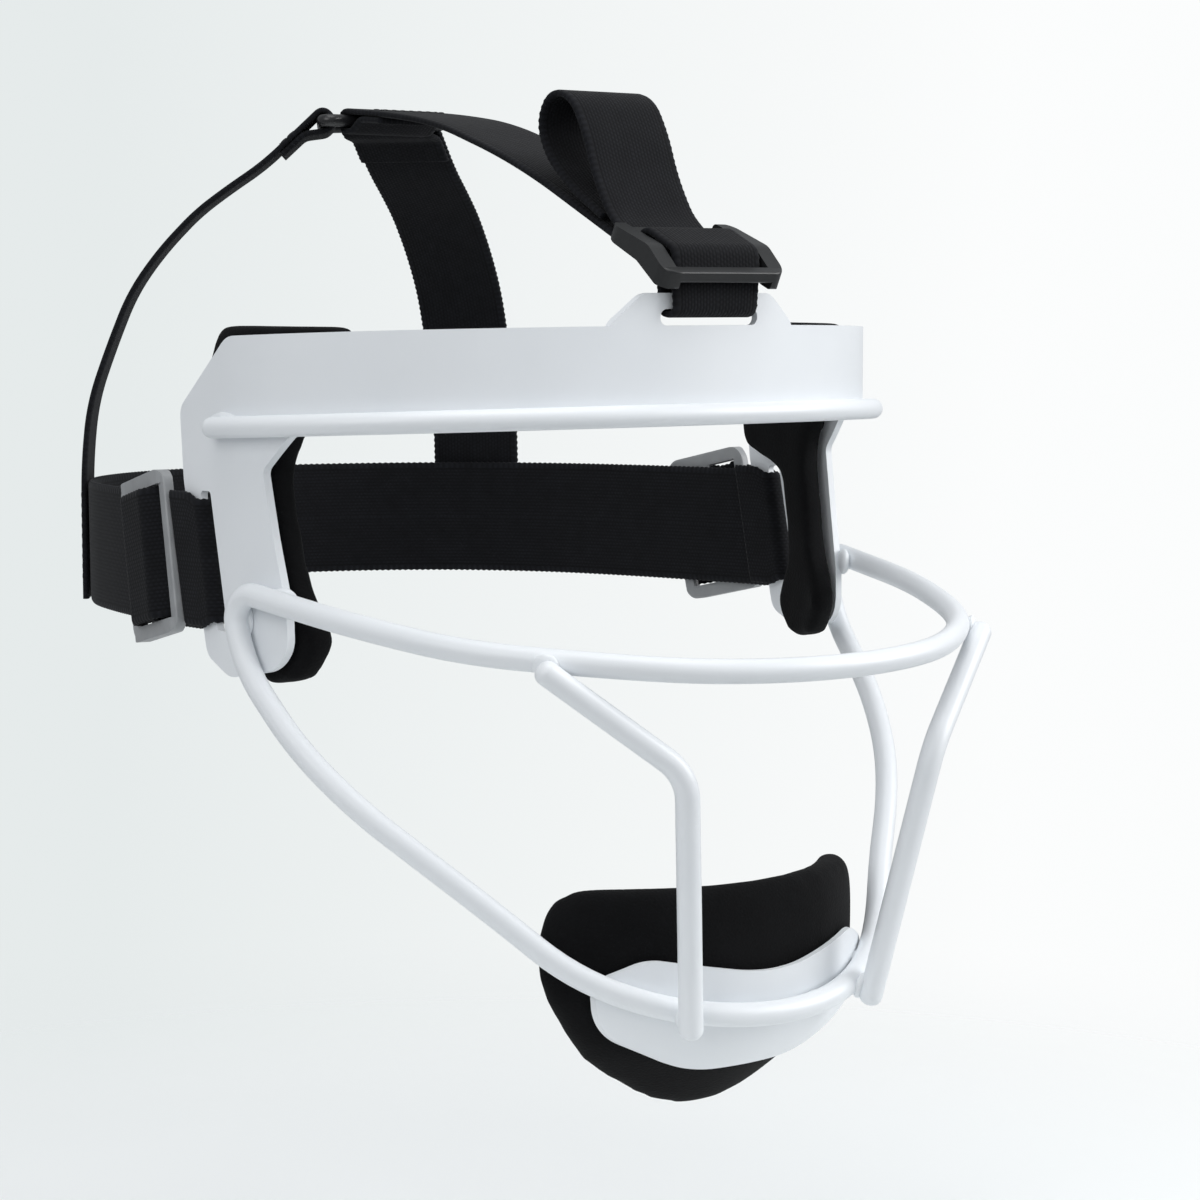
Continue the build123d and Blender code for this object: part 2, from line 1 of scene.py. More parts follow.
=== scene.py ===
# %% [markdown]
# # A fielder's face guard
# The guard is a painted steel band and cage with foam pads and black elastic straps. The steel, wire
# and plastic pieces come finished from the CAD frame and only need their surfaces. The straps and the
# pads are soft, so they are modelled here, in the places that their plain CAD solids hold.

# %% Load the frame and the tools
import math
import bpy
from mathutils import Matrix, Vector


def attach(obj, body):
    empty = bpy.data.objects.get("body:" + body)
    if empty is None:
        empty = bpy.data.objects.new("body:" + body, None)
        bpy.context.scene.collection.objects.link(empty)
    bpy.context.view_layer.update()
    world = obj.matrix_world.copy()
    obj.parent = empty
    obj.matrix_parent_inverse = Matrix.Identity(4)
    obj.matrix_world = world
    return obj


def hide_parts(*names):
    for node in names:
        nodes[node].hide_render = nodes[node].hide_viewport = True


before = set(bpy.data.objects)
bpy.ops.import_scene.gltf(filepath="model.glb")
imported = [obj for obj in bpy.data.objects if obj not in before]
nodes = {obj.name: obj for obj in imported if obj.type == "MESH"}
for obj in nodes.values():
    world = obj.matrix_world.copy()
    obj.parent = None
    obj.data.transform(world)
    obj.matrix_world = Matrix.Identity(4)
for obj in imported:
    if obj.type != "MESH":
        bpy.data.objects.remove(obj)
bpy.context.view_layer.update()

scene = bpy.context.scene
bpy.ops.object.select_all(action="DESELECT")
MM = 0.001
print("pieces in the frame:", len(nodes))

# %% [markdown]
# ## Finishes
# Every surface is a small tree of nodes. One helper adds a node, sets its values and links it, so each
# finish reads as a short list. The patterns use Object coordinates in metres, so a scale of 1000 gives
# features of a millimetre. Noise and Voronoi patterns are worked out from the place alone, so they
# never show a seam.

# %% Helpers that add nodes
def add_node(tree, kind, inputs=None, **settings):
    """Add a node, set its options, and set or link its inputs."""
    made = tree.nodes.new(kind)
    for name, value in settings.items():
        setattr(made, name, value)
    for name, value in (inputs or {}).items():
        if isinstance(value, bpy.types.NodeSocket):
            tree.links.new(value, made.inputs[name])
        else:
            made.inputs[name].default_value = value
    return made


def math_node(tree, operation, first, second=0.0, third=0.0):
    """Add a Math node and return its output."""
    made = add_node(tree, "ShaderNodeMath", {0: first, 1: second, 2: third}, operation=operation)
    return made.outputs[0]


def object_place(tree):
    """Return the place on the piece, in metres."""
    return add_node(tree, "ShaderNodeTexCoord").outputs["Object"]


def noise(tree, place, scale, detail):
    """Return soft cloudy noise."""
    inputs = {"Vector": place, "Scale": scale, "Detail": detail}
    return add_node(tree, "ShaderNodeTexNoise", inputs).outputs[0]


def cells(tree, place, scale):
    """Return the distance from the middle of small uneven cells."""
    return add_node(tree, "ShaderNodeTexVoronoi", {"Vector": place, "Scale": scale}).outputs["Distance"]


print("node helpers ready")

# %% Helpers that start and shape a finish
def start_finish(name, roughness, **sockets):
    """Start a material and set the sockets that stay the same all over."""
    finish = bpy.data.materials.new(name)
    finish.use_nodes = True
    shader = finish.node_tree.nodes["Principled BSDF"]
    shader.inputs["Roughness"].default_value = roughness
    for socket, value in sockets.items():
        shader.inputs[socket.replace("_", " ")].default_value = value
    return finish, finish.node_tree, shader


def colour_between(tree, shader, factor, dark, light):
    """Colour the surface between two tones by a pattern."""
    tones = {"Factor": factor, "A": (*dark, 1), "B": (*light, 1)}
    mix = add_node(tree, "ShaderNodeMix", tones, data_type="RGBA")
    tree.links.new(mix.outputs["Result"], shader.inputs["Base Color"])


def raise_pattern(tree, shader, height, strength, distance):
    """Let a pattern catch the light as fine relief."""
    bump = add_node(tree, "ShaderNodeBump", {"Height": height, "Strength": strength, "Distance": distance})
    tree.links.new(bump.outputs["Normal"], shader.inputs["Normal"])


def dress(finish, *names):
    """Give CAD pieces a finish."""
    for name in names:
        nodes[name].data.materials.clear()
        nodes[name].data.materials.append(finish)
    print(finish.name, "on", len(names), "pieces")


# %% [markdown]
# ## Painted steel
# The cage and the band are powder coated: a cool white with a soft sheen and a faint orange peel about
# 1.5 mm across. Slow noise shifts the tone and the sheen a little, as thick paint does, and fine noise
# gives the peel.

# %% Make the powder coat
COAT_DARK = (0.775, 0.805, 0.835)
COAT_LIGHT = (0.83, 0.855, 0.88)
COAT_CLOUDS = 38
COAT_PEEL = 650
PEEL_STRENGTH, PEEL_HEIGHT = 0.07, 0.00005
GLOSSIEST, DULLEST = 0.3, 0.44
PAINTED = (
    "brow_band", "brow_rim_wire", "upper_bar", "lower_bar", "chin_plate", "left_upright", "right_upright",
)

coat, tree, shader = start_finish("white powder coat", roughness=0.36)
place = object_place(tree)
slow = noise(tree, place, COAT_CLOUDS, detail=3)
colour_between(tree, shader, slow, COAT_DARK, COAT_LIGHT)
sheen = add_node(tree, "ShaderNodeMapRange", {"Value": slow, "To Min": GLOSSIEST, "To Max": DULLEST})
tree.links.new(sheen.outputs[0], shader.inputs["Roughness"])
raise_pattern(tree, shader, noise(tree, place, COAT_PEEL, detail=1), PEEL_STRENGTH, PEEL_HEIGHT)
dress(coat, *PAINTED)

# %% [markdown]
# ## Moulded sliders and the wire ring
# The top slider is near black and the side sliders are mid grey. Both come out of a spark-eroded mould,
# so they have a tight grain that breaks up the highlight. The ring is a steel wire with a smooth black
# coating.

# %% Make the plastics and the ring's coating
PLASTIC_CLOUDS = 260
MOULD_GRAIN = 4200
GRAIN_HEIGHT = 0.00005
BLACKS = ((0.008, 0.0085, 0.009), (0.016, 0.017, 0.018))
GREYS = ((0.25, 0.26, 0.27), (0.36, 0.37, 0.38))
RING_BLACKS = ((0.01, 0.01, 0.011), (0.018, 0.018, 0.02))


def moulded_plastic(name, dark, light, roughness, grain):
    """Return plastic with a fine moulded grain and a slight change of tone."""
    finish, tree, shader = start_finish(name, roughness)
    place = object_place(tree)
    colour_between(tree, shader, noise(tree, place, PLASTIC_CLOUDS, detail=4), dark, light)
    raise_pattern(tree, shader, noise(tree, place, MOULD_GRAIN, detail=2), grain, GRAIN_HEIGHT)
    return finish


black_plastic = moulded_plastic("black slider plastic", *BLACKS, roughness=0.4, grain=0.3)
grey_plastic = moulded_plastic("grey slider plastic", *GREYS, roughness=0.42, grain=0.4)
ring_coating = moulded_plastic("black ring coating", *RING_BLACKS, roughness=0.3, grain=0.08)
dress(black_plastic, "top_slider")
dress(grey_plastic, "left_side_slider", "right_side_slider")
dress(ring_coating, "crown_ring")

# %% [markdown]
# ## Hook tape
# Hook tape is a felt-like field of stiff hooks. Voronoi cells less than a millimetre across stand for
# the hooks, with painted shade darkening the gaps between them.

# %% Make the hook tape
HOOK_CELLS = 1300
HOOK_TIP = (0.03, 0.03, 0.032)
SHADED_HOOK_GAP = (0.006, 0.006, 0.007)
HOOK_STRENGTH, HOOK_HEIGHT = 0.8, 0.0004

hooks, tree, shader = start_finish("black hook tape", roughness=0.75)
dots = cells(tree, object_place(tree), HOOK_CELLS)
# The gaps between the hooks are darker as painted shade.
colour_between(tree, shader, dots, HOOK_TIP, SHADED_HOOK_GAP)
raise_pattern(tree, shader, dots, HOOK_STRENGTH, HOOK_HEIGHT)
dress(hooks, "brow_hook_tape", "chin_hook_tape", "left_temple_hook_tape", "right_temple_hook_tape")

# %% [markdown]
# ## Woven elastic
# The straps are woven elastic: fine cords run along them, the weft crosses in staggered picks, and each
# edge has a firmer selvedge with coarser loops and a shallow groove beside it. The pattern must follow
# the strap round its bends, so it reads the strap's own UV map, which holds the distance along the
# strap and the distance from its nearer edge, both in metres. The colour darkens with the relief, as
# painted shade in the hollows between the cords and in the groove.

# %% Measure out the weave
CORD_PITCH = 0.0009
PICK_PITCH = 0.0011
SELVEDGE = 0.0015
LOOP_PITCH = 0.0016
GROOVE = 0.0018
GROOVE_WIDTH = 0.0004
GROOVE_FLOOR = 0.1
PICK_SHARE, CORD_SHARE = 0.6, 0.4
LOOP_SWING, LOOP_MIDDLE = 0.35, 0.75
WEAVE_STRENGTH, WEAVE_HEIGHT = 0.5, 0.0002
LINT = 210
ELASTIC_DARK = (0.0017, 0.0019, 0.0028)
ELASTIC_LIGHT = (0.012, 0.013, 0.017)
CENTIMETRE = 0.01
print("cords in a centimetre:", round(CENTIMETRE / CORD_PITCH))

# %% Weave the cords, the selvedge and the groove
elastic, tree, shader = start_finish(
    "black woven elastic", roughness=0.88, Sheen_Weight=0.04, Sheen_Roughness=0.45,
    Specular_IOR_Level=0.2,
)
map_place = add_node(tree, "ShaderNodeUVMap", uv_map="UVMap").outputs[0]
along, from_edge = add_node(tree, "ShaderNodeSeparateXYZ", {0: map_place}).outputs[:2]
cord_turn = math_node(tree, "MULTIPLY", from_edge, math.pi / CORD_PITCH)
cords = math_node(tree, "ABSOLUTE", math_node(tree, "SINE", cord_turn))
row = math_node(tree, "FLOOR", math_node(tree, "DIVIDE", from_edge, CORD_PITCH))
pick_turn = math_node(tree, "MULTIPLY", along, 2 * math.pi / PICK_PITCH)
pick_turn = math_node(tree, "MULTIPLY_ADD", row, math.pi, pick_turn)
picks = math_node(tree, "MULTIPLY_ADD", math_node(tree, "SINE", pick_turn), 0.5, 0.5)
picks = math_node(tree, "MULTIPLY_ADD", picks, PICK_SHARE, CORD_SHARE)
weave = math_node(tree, "MULTIPLY", cords, picks)
loops = math_node(tree, "SINE", math_node(tree, "MULTIPLY", along, 2 * math.pi / LOOP_PITCH))
loops = math_node(tree, "MULTIPLY_ADD", loops, LOOP_SWING, LOOP_MIDDLE)
in_edge = math_node(tree, "LESS_THAN", from_edge, SELVEDGE)
woven = add_node(tree, "ShaderNodeMix", {"Factor": in_edge, "A": weave, "B": loops}, data_type="FLOAT")
from_groove = math_node(tree, "ABSOLUTE", math_node(tree, "SUBTRACT", from_edge, GROOVE))
groove = {"Value": from_groove, "From Max": GROOVE_WIDTH, "To Min": GROOVE_FLOOR}
open_groove = add_node(tree, "ShaderNodeMapRange", groove).outputs[0]
relief = math_node(tree, "MULTIPLY", woven.outputs["Result"], open_groove)
# The tone follows the relief as painted shade in the hollows and the groove, and lint noise varies it at
# random.
tone = math_node(tree, "MULTIPLY", relief, noise(tree, object_place(tree), LINT, detail=6))
colour_between(tree, shader, tone, ELASTIC_DARK, ELASTIC_LIGHT)
raise_pattern(tree, shader, relief, WEAVE_STRENGTH, WEAVE_HEIGHT)
print("nodes in the weave:", len(tree.nodes))

# %% [markdown]
# ## Faced foam
# The pads are closed-cell foam faced with a fine black knit. The knit is too small to draw stitch by
# stitch, so Voronoi cells of half a millimetre roughen it, and slow noise lets the tone drift as
# pressed fabric does.

# %% Make the faced foam
KNIT_CELLS = 1700
KNIT_CLOUDS = 70
KNIT_DARK = (0.0012, 0.0013, 0.0016)
KNIT_LIGHT = (0.005, 0.0052, 0.006)
KNIT_STRENGTH, KNIT_HEIGHT = 0.45, 0.0002

knit, tree, shader = start_finish(
    "black faced foam", roughness=0.92, Sheen_Weight=0.015, Sheen_Roughness=0.5,
    Specular_IOR_Level=0.14,
)
place = object_place(tree)
colour_between(tree, shader, noise(tree, place, KNIT_CLOUDS, detail=5), KNIT_DARK, KNIT_LIGHT)
raise_pattern(tree, shader, cells(tree, place, KNIT_CELLS), KNIT_STRENGTH, KNIT_HEIGHT)
print("soft finishes made")

# %% [markdown]
# ## A strip of webbing
# A strap is a long flat strip that is bent afterwards, which is also how it is sewn. A grid is added at
# the strap's real length and width, its edges are thinned and given the small waves of a selvedge,
# Solidify gives it its thickness, and a Curve modifier lays it along its path. The path is drawn flat,
# in millimetres, as corner points with a bend radius for each inner corner. It is then turned into
# place, where it keeps to the middle of the plain CAD strap.

# %% Draw a path with rounded corners
BEND_STEP = 0.5
SMALL_BEND = 3
LEAST_STEPS = 3


def rounded_path(line, bends):
    """Return many points of a flat path whose inner corners are rounded with the given radii."""
    corners = [Vector(point) for point in line]
    path = [corners[0]]
    for before, corner, after, radius in zip(corners, corners[1:], corners[2:], bends):
        into, out = (corner - before).normalized(), (after - corner).normalized()
        turn = math.atan2(into.x * out.y - into.y * out.x, into.dot(out))
        start = corner - into * (radius * math.tan(abs(turn) / 2))
        side = Vector((-into.y, into.x)) * math.copysign(radius, turn)
        count = max(LEAST_STEPS, round(abs(turn) * max(radius, SMALL_BEND) / BEND_STEP))
        for step in range(count + 1):
            spin = Matrix.Rotation(turn * step / count, 2)
            path.append(start + side - spin @ side)
    path.append(corners[-1])
    return [point * MM for point in path]


def path_length(path):
    """Return the length of a path of points."""
    return sum((after - before).length for before, after in zip(path, path[1:]))


print("path helpers ready")

# %% [markdown]
# The strip's cross-section is set by nine columns of the grid. The outer ones are thinner, because a
# selvedge is flatter than the body of the strap. A list of width shares lets a strap narrow where it is
# squeezed in a slot.

# %% Make a flat strip
COLUMN_SHARES = (-1, -0.975, -0.92, -0.6, 0, 0.6, 0.92, 0.975, 1)
COLUMN_THICKNESS_SHARES = (0.42, 0.8, 1, 1, 1, 1, 1, 0.8, 0.42)
LAST_COLUMN = len(COLUMN_SHARES) - 1
STRIP_STEP = 0.4 * MM
WAVE = 0.13 * MM
EVEN_WIDTH_SHARES = ((0, 1), (1, 1))


def width_share_at(width_shares, share):
    """Return the width's share at a share of the strap's length, eased between the list's entries."""
    for (left, low), (right, high) in zip(width_shares, width_shares[1:]):
        if left <= share <= right:
            ease = (share - left) / (right - left)
            ease = ease * ease * (3 - 2 * ease)
            return low + (high - low) * ease
    return width_shares[-1][1]


def flat_strip(name, length, half, width_shares):
    """Return a flat strap along X, with distances in its UV map and thickness shares in a vertex group."""
    bpy.ops.object.select_all(action="DESELECT")
    steps = round(length / STRIP_STEP)
    bpy.ops.mesh.primitive_grid_add(x_subdivisions=steps, y_subdivisions=LAST_COLUMN, size=1)
    strap = bpy.context.object
    strap.name = name
    group = strap.vertex_groups.new(name="thickness")
    uv_of = {}
    for vertex in strap.data.vertices:
        column = round((vertex.co.y + 0.5) * LAST_COLUMN)
        share = vertex.co.x + 0.5
        along = share * length
        reach = half * COLUMN_SHARES[column] * width_share_at(width_shares, share)
        if column in (0, LAST_COLUMN):
            reach += WAVE * math.sin(2 * math.pi * along / LOOP_PITCH + column)
        vertex.co = (along, reach, 0)
        group.add([vertex.index], COLUMN_THICKNESS_SHARES[column], "REPLACE")
        uv_of[vertex.index] = (along, half * (1 - abs(COLUMN_SHARES[column])))
    for loop, corner in zip(strap.data.loops, strap.data.uv_layers.active.data):
        corner.uv = uv_of[loop.vertex_index]
    return strap


print("columns across a strip:", len(COLUMN_SHARES))

# %% [markdown]
# The Curve modifier bends the strip in the plane of its path. So the flat strip is first stood on its
# edge, and once it is bent, a 4x4 matrix moves its mesh to the strap's place on the guard.

# %% Thicken a strip and lay it along its path
WEB = 1.5 * MM


def lay_along(strap, path):
    """Bend the active strip along a path of points."""
    line = bpy.data.curves.new(strap.name + "_path", "CURVE")
    line.dimensions = "2D"
    spline = line.splines.new("POLY")
    spline.points.add(len(path) - 1)
    for point, spot in zip(spline.points, path):
        point.co = (spot.x, spot.y, 0, 1)
    guide = bpy.data.objects.new(strap.name + "_path", line)
    scene.collection.objects.link(guide)
    bpy.ops.object.modifier_add(type="CURVE")
    bend = strap.modifiers[-1]
    bend.object, bend.deform_axis = guide, "POS_X"
    bpy.ops.object.modifier_apply(modifier=bend.name)
    bpy.data.objects.remove(guide)


def webbing(name, line, bends, width, place, width_shares=EVEN_WIDTH_SHARES):
    """Model a strap along a rounded line and put it in place with a 4x4 matrix."""
    path = rounded_path(line, bends)
    length = path_length(path)
    strap = flat_strip(name, length, width * MM / 2, width_shares)
    strap.data.transform(Matrix.Rotation(math.pi / 2, 4, "X"))
    bpy.ops.object.modifier_add(type="SOLIDIFY")
    solid = strap.modifiers[-1]
    solid.thickness, solid.offset, solid.vertex_group = WEB, 0, "thickness"
    bpy.ops.object.modifier_apply(modifier=solid.name)
    lay_along(strap, path)
    strap.vertex_groups.clear()
    strap.data.transform(place)
    bpy.ops.object.shade_smooth()
    strap.data.materials.append(elastic)
    print(name, "length", round(length / MM), "mm, triangles", len(strap.data.polygons) * 2)
    return strap


# %% Helpers that place, mirror and tie a piece
def frame_of(origin, along, up):
    """Return the matrix that puts a flat drawing in place: its x runs along, its y runs up."""
    along, up = Vector(along).normalized(), Vector(up).normalized()
    across = along.cross(up)
    turned = Matrix((along, up, across)).transposed().to_4x4()
    return Matrix.Translation(Vector(origin) * MM) @ turned


def turned_copy(piece, name):
    """Return the mirror image of a piece as its own mesh, with its faces turned to point outwards."""
    twin = piece.copy()
    twin.data = piece.data.copy()
    twin.name = name
    scene.collection.objects.link(twin)
    twin.data.transform(Matrix.Scale(-1, 4, (1, 0, 0)))
    twin.data.flip_normals()
    return twin


def finish_piece(piece, body, slot, *replaced):
    """Tie a soft piece to its body and hide the CAD nodes that it stands for; the slot is not used."""
    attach(piece, body)
    if replaced:
        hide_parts(*replaced)


# %% [markdown]
# ## The top strap
# Five pieces of webbing run over the head. One goes through the slot of the tab, the long one goes over
# the head and folds round the crown ring, and three go with the slider: the hump over its middle bar,
# the sewn end on that bar, and the slack that stands up behind it in a loop. The first two are drawn in
# side view, with y along and z up. The other three are drawn from the slider's middle, along the strap
# under it.

# %% Model the webbing that stays on the guard
TOP_WIDTH = 24.6
TAB_LINE = [(0.5, 28.04), (-10.65, 22.72), (-10.65, 15.35), (-5.87, 15.35), (-5.87, 23.01), (-3.0, 24.38)]
TAB_BENDS = [2, 2, 2, 2]
TAB_WIDTH_SHARES = ((0, 1), (0.34, 1), (0.56, 0.965), (0.8, 1), (1, 1))
HEAD_LINE = [
    (0.5, 28.04), (46.8, 50.12), (79.48, 60.6), (100.01, 63.6), (120.4, 65.4), (120.4, 60.3), (115.8, 60.3),
    (111.8, 63.0), (103.4, 62.3),
]
HEAD_BENDS = [244.16, 120.07, 347.03, 2, 2, 3, 3]
side_view = frame_of((0, 0, 0), (0, 1, 0), (0, 0, 1))

tab_webbing = webbing("slot_webbing", TAB_LINE, TAB_BENDS, TOP_WIDTH, side_view, TAB_WIDTH_SHARES)
finish_piece(tab_webbing, "guard", "webbing", "tab_slot_webbing")
head_strap = webbing("head_strap", HEAD_LINE, HEAD_BENDS, TOP_WIDTH, side_view)
finish_piece(head_strap, "guard", "webbing", "top_strap")

# %% Model the webbing that goes with the top slider
TOP_SLIDER_SPOT = (0, -3.2, 26.2746)
STRAP_SLOPE = math.radians(25.5)
SLACK_LINE = [
    (12.3, 1.98), (18.54, 3.44), (27.12, 9.03), (34.92, 16.6), (42.49, 21.5), (50.52, 19.91), (51.49, 11.5),
    (44.51, 5.81), (33.4, 2.9), (20.88, 1.98),
]
SLACK_BENDS = [17.54, 50.81, 44.15, 9.7, 5.39, 7.42, 19.85, 60.52]
HUMP_FOOT, HUMP_TOP, HUMP_BEND = 1.9, 6.1, 2.6
TOP_HUMP_HALVES = (7.75, 5.27)
SEWN_LINE = [(-2.45, 1.15), (-2.45, 4.5), (2.45, 4.5), (2.45, 1.15)]
SEWN_BENDS = [1.12, 1.12]
up_strap = (0, math.cos(STRAP_SLOPE), math.sin(STRAP_SLOPE))
off_strap = (0, -math.sin(STRAP_SLOPE), math.cos(STRAP_SLOPE))
top_slider_view = frame_of(TOP_SLIDER_SPOT, up_strap, off_strap)


def hump(name, foot_half, top_half, width, place):
    """Model the webbing over a slider's middle bar, given half its length at its foot and at its top."""
    line = [(-foot_half, HUMP_FOOT), (-top_half, HUMP_TOP), (top_half, HUMP_TOP), (foot_half, HUMP_FOOT)]
    return webbing(name, line, [HUMP_BEND, HUMP_BEND], width, place)


slack = webbing("slack_loop", SLACK_LINE, SLACK_BENDS, TOP_WIDTH, top_slider_view)
finish_piece(slack, "top_slider_unit", "webbing", "top_strap_slack")
top_hump = hump("top_slider_hump", *TOP_HUMP_HALVES, TOP_WIDTH, top_slider_view)
finish_piece(top_hump, "top_slider_unit", "webbing", "top_slider_webbing")
top_sewn_end = webbing("top_sewn_end", SEWN_LINE, SEWN_BENDS, TOP_WIDTH, top_slider_view)
finish_piece(top_sewn_end, "top_slider_unit", "webbing", "top_strap_sewn_end")

# %% [markdown]
# ## The rear strap and its strands
# The wide strap goes round the back of the head and hangs a little lower at the nape. It is drawn from
# above, and only one half of its line is listed. Two strands wrap the sides of the crown ring and come
# down to it. Each strand lies in one upright plane, so it is drawn flat in that plane, outwards and up
# from the ring.

# %% Model the strap round the back of the head
SIDE_WIDTH = 30.0
REAR_Z = -40.4
REAR_START = 75.7
NAPE_DROP = math.radians(-0.8)
HALF_LAP = [(84.3, 67.9), (84.3, 75.7), (79.24, 114.07), (70.98, 145.08), (54.96, 170.03), (31.53, 187.02)]
HALF_LAP_BENDS = [70.95, 237.85, 90.97, 73.67, 69.58]
NAPE, NAPE_BEND = (0, 194.5), 65.52
rear_line = HALF_LAP + [NAPE] + [(-x, y) for x, y in reversed(HALF_LAP)]
rear_bends = HALF_LAP_BENDS + [NAPE_BEND] + HALF_LAP_BENDS[::-1]
rear_view = Matrix.Translation((0, REAR_START * MM, REAR_Z * MM)) @ Matrix.Rotation(NAPE_DROP, 4, "X")
rear_view = rear_view @ Matrix.Translation((0, -REAR_START * MM, 0))

rear_strap = webbing("nape_strap", rear_line, rear_bends, SIDE_WIDTH, rear_view)
finish_piece(rear_strap, "guard", "webbing", "rear_strap")

# %% Model the two strands
STRAND_SPOT = (10.127, 131.533, 62.85)
STRAND_TURN = math.radians(32.962)
STRAND_LINE = [
    (10.04, -8.3), (4.64, -3.24), (-0.83, -2.5), (-3.39, -0.11), (-0.11, 3.39), (14.72, -10.61),
    (23.83, -16.81), (31.61, -22.65), (40.72, -32.18), (48.2, -42.67), (53.69, -56.14), (58.64, -70.21),
    (60.33, -86.18), (60.33, -119.2),
]
STRAND_BENDS = [4, 3, 2, 2, 66.34, 201.43, 56.68, 86.33, 52.96, 285.92, 61.2, 146.21]
strand_view = frame_of(STRAND_SPOT, (math.cos(STRAND_TURN), math.sin(STRAND_TURN), 0), (0, 0, 1))

left_strand = webbing("left_strand", STRAND_LINE, STRAND_BENDS, TOP_WIDTH, strand_view)
right_strand = turned_copy(left_strand, "right_strand")
finish_piece(left_strand, "guard", "webbing", "left_rear_strand")
finish_piece(right_strand, "guard", "webbing", "right_rear_strand")

# %% [markdown]
# ## The side straps
# On each side a short length of webbing doubles back through the plate's leaning slot, so its width
# leans with the slot. It is drawn from above and then sheared. The hump and the sewn end sit on the
# slider's middle bar.

# %% Lean the side straps with their slots
SLOT_LEAN = 0.21935
SLOT_TOP_Z = 15.5
SLOT_MIDDLE_Z = -39.5
SLIDER_SPOT = (82.5732, 88.8, REAR_Z)
SLIDER_TURN = math.radians(7.509)
leaning = Matrix((
    (1, 0, 0, 0),
    (0, 1, SLOT_LEAN, -SLOT_TOP_Z * SLOT_LEAN * MM),
    (0, 0, 1, SLOT_MIDDLE_Z * MM),
    (0, 0, 0, 1),
))
along_slider = (-math.sin(SLIDER_TURN), math.cos(SLIDER_TURN), -SLOT_LEAN)
off_slider = (math.cos(SLIDER_TURN), math.sin(SLIDER_TURN), 0)
side_slider_view = frame_of(SLIDER_SPOT, along_slider, off_slider)
print("lean of the side slots:", round(math.degrees(math.atan(SLOT_LEAN)), 1), "degrees")

# %% Model the webbing at the sides
WRAP_LINE = [(86.25, 78.2), (86.25, 65.85), (82.35, 65.85), (82.35, 78.2)]
WRAP_BENDS = [1.7, 1.7]
SIDE_HUMP_HALVES = (9.25, 6.29)
WRAP_WIDTH_SHARES = ((0, 1), (0.26, 1), (0.42, 0.91), (0.58, 0.91), (0.74, 1), (1, 1))

wrap = webbing("left_slot_wrap", WRAP_LINE, WRAP_BENDS, SIDE_WIDTH, leaning, WRAP_WIDTH_SHARES)
side_hump = hump("left_side_hump", *SIDE_HUMP_HALVES, SIDE_WIDTH, side_slider_view)
sewn_end = webbing("left_side_sewn_end", SEWN_LINE, SEWN_BENDS, SIDE_WIDTH, side_slider_view)
for piece, body, node in (
    (wrap, "guard", "left_side_slot_webbing"),
    (side_hump, "left_slider_unit", "left_side_slider_webbing"),
    (sewn_end, "left_slider_unit", "left_side_strap_sewn_end"),
):
    twin = turned_copy(piece, piece.name.replace("left", "right"))
    finish_piece(piece, body, "webbing", node)
    finish_piece(twin, body.replace("left", "right"), "webbing", node.replace("left", "right"))

# %% [markdown]
# ## The pads
# Each pad is cut foam with a knit face that pulls tight round its edges and swells between them. A copy
# of the CAD solid is merged, remeshed with small even cells, drawn in a little, smoothed and blown up
# gently as cloth. The face against the steel is held still, so it stays flat, and no point may move
# further than a cap. Subdivision Surface then rounds the cells.

# %% Remesh a pad and blow it up
PAD_VOXEL = 0.0024
PAD_MERGE = 0.00001
PAD_PRESSURE = 4.0
BLOW_FRAMES = 20


def even_copy(name, node, inset, rounding):
    """Return a copy of a CAD solid in small even cells, drawn in and rounded a little."""
    bpy.ops.object.select_all(action="DESELECT")
    piece = bpy.data.objects.new(name, nodes[node].data.copy())
    scene.collection.objects.link(piece)
    piece.select_set(True)
    bpy.context.view_layer.objects.active = piece
    piece.data.materials.clear()
    bpy.ops.object.mode_set(mode="EDIT")
    bpy.ops.mesh.select_all(action="SELECT")
    bpy.ops.mesh.remove_doubles(threshold=PAD_MERGE)
    bpy.ops.object.mode_set(mode="OBJECT")
    piece.data.remesh_voxel_size = PAD_VOXEL
    bpy.ops.object.voxel_remesh()
    bpy.ops.object.mode_set(mode="EDIT")
    bpy.ops.mesh.select_all(action="SELECT")
    bpy.ops.transform.shrink_fatten(value=-inset)
    bpy.ops.mesh.vertices_smooth(factor=0.5, repeat=rounding)
    bpy.ops.object.mode_set(mode="OBJECT")
    return piece


def blow_up(piece, held, cap):
    """Inflate the active piece as cloth, with some points held still and no point moved past a cap."""
    start = [vertex.co.copy() for vertex in piece.data.vertices]
    piece.vertex_groups.new(name="held").add(held, 1.0, "REPLACE")
    bpy.ops.object.modifier_add(type="CLOTH")
    cloth = piece.modifiers[-1]
    cloth.settings.use_pressure = True
    cloth.settings.uniform_pressure_force = PAD_PRESSURE
    cloth.settings.effector_weights.gravity = 0
    cloth.settings.vertex_group_mass = "held"
    cloth.point_cache.frame_start, cloth.point_cache.frame_end = 1, BLOW_FRAMES
    for moment in range(1, BLOW_FRAMES + 1):
        scene.frame_set(moment)
    bpy.ops.object.modifier_apply(modifier=cloth.name)
    scene.frame_set(1)
    for vertex, origin in zip(piece.data.vertices, start):
        shift = vertex.co - origin
        if shift.length > cap:
            vertex.co = origin + shift.normalized() * cap
    piece.vertex_groups.clear()


print("pad cells:", PAD_VOXEL / MM, "mm")

